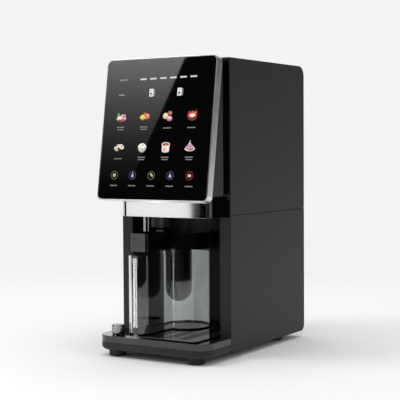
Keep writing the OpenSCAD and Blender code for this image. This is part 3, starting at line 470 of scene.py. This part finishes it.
SOFTENED = {
    "base_plinth": 1.2, "drip_deck": 1.5, "left_lower_panel": 0.8, "right_lower_panel": 0.8,
    "left_upper_panel": 1.0, "right_upper_panel": 1.0, "top_cover": 0.5,
    "head_housing": 0.8, "head_band": 0.4, "screen_housing": 1.0, "screen_bezel": 1.2,
    "screen_mount": 0.8, "jug_lid": 1.0, "nozzle_block": 0.8, "lock_knob": 0.5, "drip_grate": 0.5,
    "tank_lid": 0.4, "feet": 0.6, "outlet_tube": 0.3, "jug_body": 0.5, "infuser": 0.3,
}
finished = {node: soften(node, width) for node, width in SOFTENED.items()}


def split_infuser(piece, sleeve_radius=29 * MM, wall=2.2 * MM):
    """Faces near the outer sleeve's own surface get its see-through finish; the filter in it stays opaque."""
    low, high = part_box("infuser")
    centre_x, centre_y = (low[0] + high[0]) / 2, (low[1] + high[1]) / 2
    piece.data.materials.append(smoked_sleeve())
    for face in piece.data.polygons:
        x, y, z = face.center
        below = min(0, z - low[2] - sleeve_radius)
        if math.hypot(x - centre_x, y - centre_y, below) > sleeve_radius - wall:
            face.material_index = 1


split_infuser(finished["infuser"])


# ---- the lit display ----

tilt = math.radians(8.8)
glass_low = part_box("screen_glass")[0]
GLASS = Matrix.Translation((0, glass_low[1], glass_low[2])) @ Matrix.Rotation(-tilt, 4, "X")
screen_origin = bpy.data.objects.new("screen_origin", None)
bpy.context.collection.objects.link(screen_origin)


def draw(kind, x, z, width, height, lean=0.0):
    """Adds a flat oval, bar, bowl or peak, in millimetres on the glass, to the mesh being edited."""
    centre = (x * MM, 0, z * MM)
    if kind == "bar":
        bpy.ops.mesh.primitive_plane_add(size=MM, location=centre, rotation=(math.pi / 2, 0, 0))
    else:
        points = 3 if kind == "peak" else 28
        bpy.ops.mesh.primitive_circle_add(vertices=points, radius=MM / 2, fill_type="NGON", location=centre,
                                          rotation=(math.pi / 2, 0, 0))
    if kind == "bowl":
        bpy.ops.mesh.bisect(plane_co=centre, plane_no=(0, 0, 1), clear_outer=True, use_fill=False)
        bpy.ops.mesh.select_linked()
    bpy.ops.transform.resize(value=(width, 1, height), center_override=centre)
    if lean:
        bpy.ops.transform.rotate(value=math.radians(lean), orient_axis="Y", center_override=centre)


INKS = {}


def ink(hex_colour):
    if hex_colour not in INKS:
        INKS[hex_colour] = lit_pixels(hex_colour)
    return INKS[hex_colour]


def picture(name, shapes):
    """One picture on the display: thin plates, the later ones in front, each in its own lit colour."""
    select_only(screen_origin)
    bpy.ops.mesh.primitive_plane_add(size=MM)
    piece = bpy.context.object
    piece.name = name
    bpy.ops.object.mode_set(mode="EDIT")
    bpy.ops.mesh.delete(type="VERT")
    colours = []
    for layer, (colour, *shape) in enumerate(shapes):
        if colour not in colours:
            colours.append(colour)
            piece.data.materials.append(ink(colour))
        draw(*shape)
        lift = (0.12 + 0.015 * layer) * MM
        bpy.ops.transform.translate(value=(0, -lift, 0))
        bpy.ops.mesh.extrude_region_move(TRANSFORM_OT_translate={"value": (0, 0.1 * MM, 0)})
        bpy.ops.mesh.select_linked()
        piece.active_material_index = colours.index(colour)
        bpy.ops.object.material_slot_assign()
    bpy.ops.mesh.select_all(action="SELECT")
    bpy.ops.mesh.normals_make_consistent(inside=False)
    bpy.ops.object.mode_set(mode="OBJECT")
    piece.matrix_world = GLASS
    bpy.ops.object.transform_apply(location=True, rotation=True, scale=True)
    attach(piece, "screen_door")


DISH_X = [-88.8, -30.4, 27.4, 85.4]
RING_X = [-94.9, -48.8, -2.6, 43.4, 89.4]
RING_Z = 50.0


# each dish: colour, outline, offset across and up, width, height, lean
DISHES = [
    ("berries_and_cream", 2, [("#e9c9bb", "oval", 0, -3, 24, 12), ("#b4543c", "oval", 0, -6, 19, 7),
                              ("#f2a3b4", "oval", 4, 1, 15, 10, 20), ("#f7efe6", "oval", -4, -1, 10, 8),
                              ("#d4486a", "oval", 6, 2, 6, 5), ("#f8d8dd", "oval", 2, 4, 5, 3),
                              ("#8a3426", "oval", -3, -6, 7, 3), ("#8fbf45", "oval", -8, 5, 4, 8, -25)]),
    ("fruit_trio", 2, [("#8a4a2a", "oval", 0, 5, 10, 9), ("#c27a4a", "oval", 1, 6, 5, 4),
                       ("#6fae3c", "oval", -10, 0, 8, 3, 25), ("#ef6d76", "oval", 6, 1, 14, 12),
                       ("#ffb9be", "oval", 8, 3, 5, 4), ("#f3cf2c", "oval", -4, -1, 13, 11),
                       ("#fff09a", "oval", -5, 1, 5, 4), ("#d69a16", "oval", -4, -5, 8, 2)]),
    ("macaroon_trio", 1, [("#8d5a44", "oval", 4, 6, 12, 10), ("#c08d74", "oval", 5, 7, 7, 5),
                          ("#e9cf95", "oval", -6, 1, 13, 12, 40), ("#fff0c4", "oval", -6, 2, 8, 6, 40),
                          ("#b8955a", "oval", -5, -2, 6, 2), ("#d864a4", "oval", 4, -5, 14, 10),
                          ("#f7c8e0", "oval", 4, -3, 11, 6), ("#fdeef6", "oval", 2, -2, 4, 2)]),
    ("fruit_bowl", 1, [("#8f2b22", "bowl", 0, 1, 24, 22), ("#c44a3a", "oval", 0, 2, 22, 10),
                       ("#f6efe4", "oval", 0, 1, 14, 8), ("#ffffff", "oval", -1, 0, 6, 4),
                       ("#d8322e", "oval", -6, 6, 7, 7), ("#e04a3c", "oval", 1, 7, 6, 6),
                       ("#e8624a", "oval", 7, 6, 6, 6), ("#a02622", "bar", 10, 9, 1.4, 9, 18)]),
    ("nougat", 1, [("#e9dcc6", "oval", -6, -3, 13, 9, -20), ("#f0e2cc", "oval", 6, 1, 14, 10, -25),
                   ("#fbf4ea", "oval", -2, 3, 8, 7), ("#6b4a38", "oval", -1, -3, 6, 6),
                   ("#3c2a22", "oval", -3, 4, 3, 3), ("#8b6a50", "oval", 7, 2, 4, 3),
                   ("#ffffff", "oval", 3, 4, 4, 2), ("#9c7a5e", "oval", -8, -5, 4, 3)]),
    ("rice_bowl", 2, [("#c3c7ba", "bowl", 0, 2, 21, 26), ("#f2f4ee", "oval", 0, 2, 20, 9),
                      ("#ffffff", "oval", 0, 4, 14, 8), ("#8f9a80", "oval", 1, 4, 4, 3),
                      ("#dfe3d8", "oval", -4, -4, 6, 5, 20)]),
    ("topped_cup", 2, [("#efe9e2", "bar", 0, -2, 18, 13), ("#e2dbd2", "oval", 0, -8.5, 18, 6),
                       ("#fff8f0", "oval", 0, 5, 20, 9), ("#8c2a20", "oval", 0, 5, 16, 6),
                       ("#e99a35", "oval", 1, 4, 7, 4), ("#c23a2c", "oval", -4, 6, 5, 3),
                       ("#f2a08c", "oval", -3, -5, 5, 5), ("#ffffff", "bar", 5, -4, 2, 8)]),
    ("peaked_sundae", 2, [("#f0e6da", "oval", 0, -4, 24, 10), ("#a85c3c", "oval", 0, -4, 18, 7),
                          ("#d7a0c6", "oval", 0, 0, 17, 9), ("#c98fc0", "oval", 0, 3, 11, 7),
                          ("#e2bede", "oval", -1, 6, 5, 6), ("#eed6ec", "bar", 0, 10, 1.2, 7),
                          ("#fff4ea", "oval", -6, -6, 6, 2)]),
]
DISH_X = [-88.8, -30.4, 27.4, 85.4]
DISH_Z = [171.0, 108.2]
CAPTION = "#9a9a9a"
captions = []
for number, (name, lines, shapes) in enumerate(DISHES):
    x, z = DISH_X[number % 4], DISH_Z[number // 4]
    picture("picture_" + name,
            [(colour, kind, x + dx, z + dz, *rest) for colour, kind, dx, dz, *rest in shapes])
    top = z - (24 if lines == 1 else 21)
    for line in range(lines):
        for word in range(3):
            captions.append((CAPTION, "bar", x + (word - 1) * (6.4 - 1.2 * line), top - 4.8 * line,
                             5.6 - 1.2 * line, 1.7))
picture("picture_captions", captions)

RING_X = [-94.9, -48.8, -2.6, 43.4, 89.4]
RING_Z = 50.0
SIGNS = {
    "bean": [("#c9cdb4", "oval", 0, 0, 6.5, 8, -30), ("#3a3a30", "bar", 0, 0, 0.7, 7, -30)],
    "flask": [("#b9bbd6", "oval", 0, -1.2, 6, 6.4), ("#b9bbd6", "bar", 0, 3.4, 2.4, 4)],
    "leaf": [("#c9cdb4", "oval", 0.8, 0.8, 5, 9, 45), ("#3a3a30", "bar", -0.4, -0.4, 0.7, 8, 45)],
    "drop": [("#b9bbd6", "oval", 0, -1.4, 6.4, 6), ("#b9bbd6", "peak", 0, 2.2, 5, 6)],
    "blocks": [("#e6d6d6", "bar", -2, 0, 3, 5.4), ("#e6d6d6", "bar", 2, 0, 3, 5.4),
               ("#c4a4a4", "bar", 0, 0, 1, 3)],
}
RING_COLOURS = ["#7c825c", "#5c5e96", "#7c825c", "#5c5e96", "#b2353e"]
for x, colour, (sign, shapes) in zip(RING_X, RING_COLOURS, SIGNS.items()):
    ring = [(colour, "oval", x, RING_Z, 17.4, 17.4), ("#040404", "oval", x, RING_Z, 15.6, 15.6)]
    ring += [(tone, kind, x + dx, RING_Z + dz, *rest) for tone, kind, dx, dz, *rest in shapes]
    ring += [(CAPTION, "bar", x + 4.6 * word, RING_Z - 21.5, 4.0, 1.8) for word in (-1.5, -0.5, 0.5, 1.5)]
    picture("picture_choice_" + sign, ring)

tabs = []
for i in range(6):
    for j in range(3):
        tabs.append(("#e4e4e4", "bar", -45.6 + 24.5 * i + 5.3 * j, 249.6 + 0.3 * i, 4.6, 3.4, 12))
for z, count in [(249.6, 4), (217.9, 3)]:
    tabs += [("#9f9f9f", "bar", -97 + 4.8 * j, z, 4.1, 2.4) for j in range(count)]
picture("picture_tabs", tabs)
for side, x, z in [("left", -16.4, 220.8), ("right", 52.0, 220.6)]:
    picture("picture_machine_" + side, [(tone, "bar", x + dx, z + dz, w, h) for tone, dx, dz, w, h in [
        ("#f4f4f4", -1.5, 0, 10, 16), ("#8e8e8e", 5.5, -0.5, 3.4, 14), ("#5a5a5a", -2, -3, 5, 6),
        ("#f4f4f4", -2, -4.5, 2, 2.4), ("#b8b8b8", -1.5, 5, 7, 1.6)]])
bpy.data.objects.remove(screen_origin)


# ---- jug: frosted back wall, with a painted glow ----

JUG_R = 53 * MM
FROST_R = JUG_R - 2.65 * MM  # just inside the jug's wall


def jug_frost_painted_glow():
    """The jug's back half is frosted inside, so that the drink stands out against it; the frost has a faint
    painted glow.
    """
    low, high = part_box("jug_body")
    centre_x = high[0] - JUG_R
    centre_y = high[1] - JUG_R
    bpy.ops.object.select_all(action="DESELECT")
    bpy.ops.mesh.primitive_cylinder_add(vertices=96, radius=FROST_R, depth=1, end_fill_type="NOTHING",
                                        location=(centre_x, centre_y, 0))
    piece = bpy.context.object
    piece.name = "jug_frost_painted_glow"
    bpy.ops.object.transform_apply(location=True)
    bpy.ops.object.mode_set(mode="EDIT")
    bpy.ops.mesh.select_all(action="SELECT")
    bpy.ops.mesh.bisect(plane_co=(0, 0, low[2] + 6 * MM), plane_no=(0, 0, 1), clear_inner=True)
    bpy.ops.mesh.select_all(action="SELECT")
    bpy.ops.mesh.bisect(plane_co=(0, 0, high[2] - 9 * MM), plane_no=(0, 0, 1), clear_outer=True)
    bpy.ops.mesh.select_all(action="SELECT")
    bpy.ops.mesh.bisect(plane_co=(centre_x, centre_y, 0), plane_no=(-0.35, 0.94, 0), clear_inner=True)
    bpy.ops.object.mode_set(mode="OBJECT")
    apply_modifier(piece, "SOLIDIFY", thickness=0.4 * MM, offset=-1)
    select_only(piece)
    bpy.ops.object.shade_smooth_by_angle(angle=math.radians(30))
    dress(piece, frosted_copolyester())
    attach(piece, "jug")


jug_frost_painted_glow()


# ---- stage and light ----

def glow_material(name, strength):
    material = bpy.data.materials.new(name)
    material.use_nodes = True
    tree = material.node_tree
    tree.nodes.clear()
    glow = add(tree, "ShaderNodeEmission", {"Strength": strength})
    out = add(tree, "ShaderNodeOutputMaterial")
    tree.links.new(glow.outputs[0], out.inputs["Surface"])
    return material, tree, glow


def stage_only(obj):
    """A card that shows in reflections and lights nothing by itself."""
    obj.visible_camera = False
    obj.visible_diffuse = False
    obj.visible_shadow = False


def toward(angle):
    """The flat direction this many degrees to the left of the camera, seen from the machine."""
    facing = math.atan2(camera.location.y, camera.location.x)
    a = facing - math.radians(angle)
    return Vector((math.cos(a), math.sin(a), 0))


def curved_card(name, start, stop, radius, low, high, strength):
    """A bright or black wall that curves round the machine between two angles."""
    steps = 24
    points, faces = [], []
    for i in range(steps + 1):
        spot = toward(start + (stop - start) * i / steps) * radius
        points += [(spot.x, spot.y, low), (spot.x, spot.y, high)]
    for i in range(steps):
        faces.append((2 * i, 2 * i + 2, 2 * i + 3, 2 * i + 1))
    mesh = bpy.data.meshes.new(name)
    mesh.from_pydata(points, [], faces)
    card = bpy.data.objects.new(name, mesh)
    bpy.context.collection.objects.link(card)
    card.data.materials.append(glow_material(name, strength)[0])
    stage_only(card)


def mirrored_card(name, corners, normal, distance, strength, fade=0.0):
    """A card whose corners lie where the camera sees these points mirrored by a flat face."""
    points = []
    for spot in corners:
        ray = (spot - camera.location).normalized()
        points.append(spot + (ray - 2 * ray.dot(normal) * normal) * distance)
    mesh = bpy.data.meshes.new(name)
    mesh.from_pydata(points, [], [range(len(points))])
    card = bpy.data.objects.new(name, mesh)
    bpy.context.collection.objects.link(card)
    material, tree, glow = glow_material(name, strength)
    if fade:
        place = add(tree, "ShaderNodeTexCoord").outputs["Object"]
        height = add(tree, "ShaderNodeSeparateXYZ", {"Vector": place}).outputs["Z"]
        share = add(tree, "ShaderNodeMapRange", {"Value": height, "From Min": min(p.z for p in points),
                                                 "From Max": max(p.z for p in points)})
        curve = add(tree, "ShaderNodeMath", {0: share.outputs["Result"], 1: fade}, operation="POWER")
        full = add(tree, "ShaderNodeMath", {0: curve.outputs[0], 1: strength}, operation="MULTIPLY")
        tree.links.new(full.outputs[0], glow.inputs["Strength"])
    card.data.materials.append(material)
    stage_only(card)


def softbox(name, place, size, power):
    target = Vector((0, 0, 0.3))
    bpy.ops.object.light_add(type="AREA", location=place)
    lamp = bpy.context.object
    lamp.name = name
    lamp.data.shape = "RECTANGLE"
    lamp.data.size, lamp.data.size_y = size
    lamp.data.energy = power
    lamp.rotation_euler = (target - Vector(place)).to_track_quat("-Z", "Y").to_euler()


def studio_floor(backdrop):
    """A pale floor that turns into the backdrop far away, so that no horizon shows."""
    bpy.ops.mesh.primitive_circle_add(vertices=96, radius=14, fill_type="NGON", location=(0, 0, -0.0002))
    floor = bpy.context.object
    floor.name = "studio_floor"
    material, tree, shader, place = new_material("studio_floor_paint", Roughness=0.9)
    shader.inputs["Base Color"].default_value = linear("#f2f2f2")
    shader.inputs["Specular IOR Level"].default_value = 0.05
    flat = add(tree, "ShaderNodeVectorMath", {0: place}, operation="LENGTH")
    far = add(tree, "ShaderNodeMapRange", {"Value": flat.outputs["Value"], "From Min": 0.7,
                                           "From Max": 2.2}, interpolation_type="SMOOTHSTEP")
    glow = add(tree, "ShaderNodeEmission", {"Color": linear(backdrop)})
    mix = add(tree, "ShaderNodeMixShader",
              {0: far.outputs["Result"], 1: shader.outputs[0], 2: glow.outputs[0]})
    tree.links.new(mix.outputs[0], tree.nodes["Material Output"].inputs["Surface"])
    dress(floor, material)


def studio_air(backdrop, lit_strength, dim_strength):
    """White air: seen as the backdrop, even on matt faces, and in gloss bright only behind the machine."""
    world = bpy.data.worlds.new("studio_air")
    bpy.context.scene.world = world
    world.use_nodes = True
    tree = world.node_tree
    seen = tree.nodes["Background"]
    seen.inputs["Color"].default_value = linear(backdrop)
    lit = add(tree, "ShaderNodeBackground", {"Color": linear("#ffffff"), "Strength": lit_strength})
    behind = toward(180)
    direction = add(tree, "ShaderNodeTexCoord").outputs["Generated"]
    share = add(tree, "ShaderNodeVectorMath", {0: direction, 1: behind}, operation="DOT_PRODUCT")
    fall = add(tree, "ShaderNodeMapRange", {"Value": share.outputs["Value"], "From Min": 0.6,
                                            "From Max": 0.85, "To Min": dim_strength, "To Max": 0.9})
    mirrored = add(tree, "ShaderNodeBackground",
                   {"Color": linear("#ffffff"), "Strength": fall.outputs["Result"]})
    path = add(tree, "ShaderNodeLightPath")
    glossy = add(tree, "ShaderNodeMixShader",
                 {0: path.outputs["Is Glossy Ray"], 1: lit.outputs[0], 2: mirrored.outputs[0]})
    final = add(tree, "ShaderNodeMixShader",
                {0: path.outputs["Is Camera Ray"], 1: glossy.outputs[0], 2: seen.outputs[0]})
    tree.links.new(final.outputs[0], tree.nodes["World Output"].inputs["Surface"])


BACKDROP = "#f3f3f3"
camera = place_camera()
bpy.context.scene.view_settings.view_transform = "Standard"
studio_floor(BACKDROP)
studio_air(BACKDROP, 0.65, 0.03)
softbox("key_left", (-1.8, -1.6, 3.0), (1.4, 1.4), 38)
softbox("fill_right", (3.2, -0.6, 1.9), (1.2, 1.8), 10)
softbox("top", (0, 0.3, 3.2), (2.2, 2.2), 34)
curved_card("front_flag", -50, 100, 1.35, 0.0, 0.5, 0.0)
band_low, band_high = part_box("head_band")
mirrored_card("band_card", [Vector((x * MM, band_low[1], z * MM)) for x, z in
                            [(-104, 200), (70, 200), (70, 345), (-104, 345)]], Vector((0, -1, 0)), 0.4, 1.05)
column_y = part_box("jug_body")[0][1]
COLUMN_STREAKS = [(-61, -46), (-42, -29)]
for left, right in COLUMN_STREAKS:
    corners = [(left, 62), (right, 62), (right, 205), (left, 205)]
    mirrored_card("column_card", [Vector((x * MM, column_y, z * MM)) for x, z in corners],
                  Vector((0, -1, 0)), 0.3, 9)
mirrored_card("screen_card", [GLASS @ Vector((x * MM, 0, z * MM)) for x, z in
                              [(-150, 320), (70, 320), (-72, -8), (-150, -40)]],
              (GLASS.to_3x3() @ Vector((0, -1, 0))).normalized(), 1.6, 4.3, fade=2.8)
